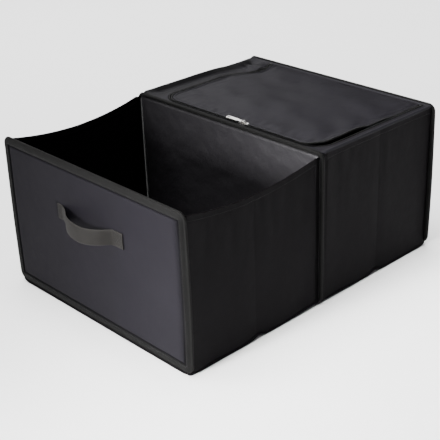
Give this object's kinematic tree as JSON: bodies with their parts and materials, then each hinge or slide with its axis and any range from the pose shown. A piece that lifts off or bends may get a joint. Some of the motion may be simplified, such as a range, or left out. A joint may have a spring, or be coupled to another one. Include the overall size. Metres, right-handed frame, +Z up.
{
  "type": "collapsible storage crate",
  "caption": "Soft-sided folding storage crate with an open front compartment, a zip-lidded rear compartment and webbing handles.",
  "frame": {"origin": "on the ground, under the middle of the divider", "axes": "+X from the divider to the lidded rear compartment, +Y to the left wall, +Z up"},
  "size_m": [0.6452, 0.45, 0.279],
  "materials": {
    "outer_cloth": "matt black polyester canvas, coarse plain weave",
    "side_cloth": "matt black polyester canvas, coated inside",
    "lining_cloth": "smooth coated black lining with a slight sheen",
    "lid_cloth": "matt black polyester canvas",
    "binding_tape": "ribbed black binding tape",
    "webbing": "heavy ribbed black webbing",
    "thread": "black sewing thread",
    "zip_tape": "fine woven black tape",
    "zip_teeth": "black nylon coil",
    "zip_metal": "bright nickel-plated metal",
    "stiffener_board": "grey stiffening board, hidden in the cloth",
    "base_board": "board wrapped in black lining"
  },
  "bodies": {
    "divider": {"divider_board": "stiffener_board", "divider_front_cover": "lining_cloth", "divider_rear_cover": "lining_cloth", "divider_binding": "binding_tape", "divider_side_seams": "binding_tape", "front_base_cloth": "outer_cloth", "rear_base_cloth": "outer_cloth"},
    "front_panel": {"front_panel_board": "stiffener_board", "front_panel_cover": "outer_cloth", "front_panel_lining": "lining_cloth", "front_panel_binding": "binding_tape", "front_handle_anchors": "webbing", "front_handle_stitching": "thread"},
    "front_handle": {"front_handle_strap": "webbing"},
    "front_left_inner": {"front_left_wall_inner": "side_cloth", "front_left_hem_inner": "side_cloth"},
    "front_left_outer": {"front_left_wall_outer": "side_cloth", "front_left_hem_outer": "side_cloth"},
    "front_right_inner": {"front_right_wall_inner": "side_cloth", "front_right_hem_inner": "side_cloth"},
    "front_right_outer": {"front_right_wall_outer": "side_cloth", "front_right_hem_outer": "side_cloth"},
    "front_base_inner": {"front_base_board_inner": "base_board"},
    "front_base_outer": {"front_base_board_outer": "base_board"},
    "rear_panel": {"rear_panel_board": "stiffener_board", "rear_panel_cover": "outer_cloth", "rear_panel_lining": "lining_cloth", "rear_panel_binding": "binding_tape", "rear_handle_anchors": "webbing", "rear_handle_stitching": "thread"},
    "rear_handle": {"rear_handle_strap": "webbing"},
    "rear_left_inner": {"rear_left_wall_inner": "side_cloth", "rear_left_hem_inner": "side_cloth"},
    "rear_left_outer": {"rear_left_wall_outer": "side_cloth", "rear_left_hem_outer": "side_cloth"},
    "rear_right_inner": {"rear_right_wall_inner": "side_cloth", "rear_right_hem_inner": "side_cloth"},
    "rear_right_outer": {"rear_right_wall_outer": "side_cloth", "rear_right_hem_outer": "side_cloth"},
    "rear_base_inner": {"rear_base_board_inner": "base_board"},
    "rear_base_outer": {"rear_base_board_outer": "base_board"},
    "top_rear": {"top_surround_rear": "lid_cloth", "zip_tape_outer_rear": "zip_tape", "zip_end_stops": "zip_metal", "zip_chain_outer_rear": "zip_teeth"},
    "top_front": {"top_surround_front": "lid_cloth", "zip_tape_outer_front": "zip_tape", "zip_chain_outer_front": "zip_teeth"},
    "lid_rear": {"lid_rear": "lid_cloth", "zip_tape_inner_rear": "zip_tape", "zip_chain_inner_rear": "zip_teeth"},
    "lid_front": {"lid_front": "lid_cloth", "zip_tape_inner_front": "zip_tape", "zip_chain_inner_front": "zip_teeth"},
    "zip_slider": {"zip_slider_body": "zip_metal", "zip_slider_bridge": "zip_metal"},
    "zip_pull": {"zip_pull_tab": "zip_metal"}
  },
  "joints": [
    {"name": "front_fold", "type": "hinge", "parent": "divider", "child": "front_left_inner", "pos_m": [-0.0115, 0.2176, 0], "axis": [0, 0, 1], "range_deg": [0, 88], "deforming": ["front_base_cloth"]},
    {"name": "front_left_crease", "type": "hinge", "parent": "front_left_inner", "child": "front_left_outer", "pos_m": [-0.1495, 0.22025, 0], "axis": [0, 0, 1], "range_deg": [-176, 0]},
    {"name": "front_left_corner", "type": "hinge", "parent": "front_left_outer", "child": "front_panel", "pos_m": [-0.2875, 0.2176, 0], "axis": [0, 0, 1], "range_deg": [0, 88]},
    {"name": "front_right_corner", "type": "hinge", "parent": "divider", "child": "front_right_inner", "pos_m": [-0.0115, -0.2176, 0], "axis": [0, 0, -1], "range_deg": [0, 88]},
    {"name": "front_right_crease", "type": "hinge", "parent": "front_right_inner", "child": "front_right_outer", "pos_m": [-0.1495, -0.22025, 0], "axis": [0, 0, -1], "range_deg": [-176, 0]},
    {"name": "front_base_flip", "type": "hinge", "parent": "divider", "child": "front_base_inner", "pos_m": [-0.0043, 0, 0.0046], "axis": [0, 1, 0], "range_deg": [0, 90]},
    {"name": "front_base_crease", "type": "hinge", "parent": "front_base_inner", "child": "front_base_outer", "pos_m": [-0.1453, 0, 0.0014], "axis": [0, 1, 0], "range_deg": [-180, 0]},
    {"name": "front_handle_swing", "type": "hinge", "parent": "front_panel", "child": "front_handle", "pos_m": [-0.3079, 0, 0.182], "axis": [0, 1, 0], "range_deg": [0, 75]},
    {"name": "rear_fold", "type": "hinge", "parent": "divider", "child": "rear_left_inner", "pos_m": [0.0115, 0.2176, 0], "axis": [0, 0, -1], "range_deg": [0, 88], "deforming": ["rear_base_cloth"]},
    {"name": "rear_left_crease", "type": "hinge", "parent": "rear_left_inner", "child": "rear_left_outer", "pos_m": [0.1495, 0.22025, 0], "axis": [0, 0, -1], "range_deg": [-176, 0]},
    {"name": "rear_left_corner", "type": "hinge", "parent": "rear_left_outer", "child": "rear_panel", "pos_m": [0.2875, 0.2176, 0], "axis": [0, 0, -1], "range_deg": [0, 88]},
    {"name": "rear_right_corner", "type": "hinge", "parent": "divider", "child": "rear_right_inner", "pos_m": [0.0115, -0.2176, 0], "axis": [0, 0, 1], "range_deg": [0, 88]},
    {"name": "rear_right_crease", "type": "hinge", "parent": "rear_right_inner", "child": "rear_right_outer", "pos_m": [0.1495, -0.22025, 0], "axis": [0, 0, 1], "range_deg": [-176, 0]},
    {"name": "rear_base_flip", "type": "hinge", "parent": "divider", "child": "rear_base_inner", "pos_m": [0.0043, 0, 0.0046], "axis": [0, -1, 0], "range_deg": [0, 90]},
    {"name": "rear_base_crease", "type": "hinge", "parent": "rear_base_inner", "child": "rear_base_outer", "pos_m": [0.1453, 0, 0.0014], "axis": [0, -1, 0], "range_deg": [-180, 0]},
    {"name": "rear_handle_swing", "type": "hinge", "parent": "rear_panel", "child": "rear_handle", "pos_m": [0.3079, 0, 0.182], "axis": [0, -1, 0], "range_deg": [0, 75]},
    {"name": "top_fold", "type": "hinge", "parent": "rear_panel", "child": "top_rear", "pos_m": [0.2877, 0, 0.272], "axis": [0, 1, 0], "range_deg": [0, 88]},
    {"name": "top_crease", "type": "hinge", "parent": "top_rear", "child": "top_front", "pos_m": [0.146, 0, 0.269], "axis": [0, 1, 0], "range_deg": [-176, 0]},
    {"name": "lid_open", "type": "hinge", "parent": "top_rear", "child": "lid_rear", "pos_m": [0.2817, 0, 0.272], "axis": [0, -1, 0], "range_deg": [-145, 0]},
    {"name": "lid_crease", "type": "hinge", "parent": "lid_rear", "child": "lid_front", "pos_m": [0.146, 0, 0.269], "axis": [0, 1, 0], "range_deg": [-176, 0]},
    {"name": "zip_slide", "type": "slide", "parent": "top_front", "child": "zip_slider", "axis": [0, 1, 0], "range_m": [-0.1215, 0.1625]},
    {"name": "pull_tab_flip", "type": "hinge", "parent": "zip_slider", "child": "zip_pull", "pos_m": [0.012, -0.036, 0.2762], "axis": [1, 0, 0], "range_deg": [0, 170]}
  ],
  "couplings": [
    {"joint": "front_left_crease", "follows": "front_fold", "ratio": -2},
    {"joint": "front_left_corner", "follows": "front_fold", "ratio": 1},
    {"joint": "front_right_corner", "follows": "front_fold", "ratio": 1},
    {"joint": "front_right_crease", "follows": "front_fold", "ratio": -2},
    {"joint": "front_base_crease", "follows": "front_base_flip", "ratio": -2},
    {"joint": "rear_left_crease", "follows": "rear_fold", "ratio": -2},
    {"joint": "rear_left_corner", "follows": "rear_fold", "ratio": 1},
    {"joint": "rear_right_corner", "follows": "rear_fold", "ratio": 1},
    {"joint": "rear_right_crease", "follows": "rear_fold", "ratio": -2},
    {"joint": "rear_base_crease", "follows": "rear_base_flip", "ratio": -2},
    {"joint": "top_fold", "follows": "rear_fold", "ratio": 1},
    {"joint": "top_crease", "follows": "rear_fold", "ratio": -2},
    {"joint": "lid_crease", "follows": "rear_fold", "ratio": -2}
  ]
}
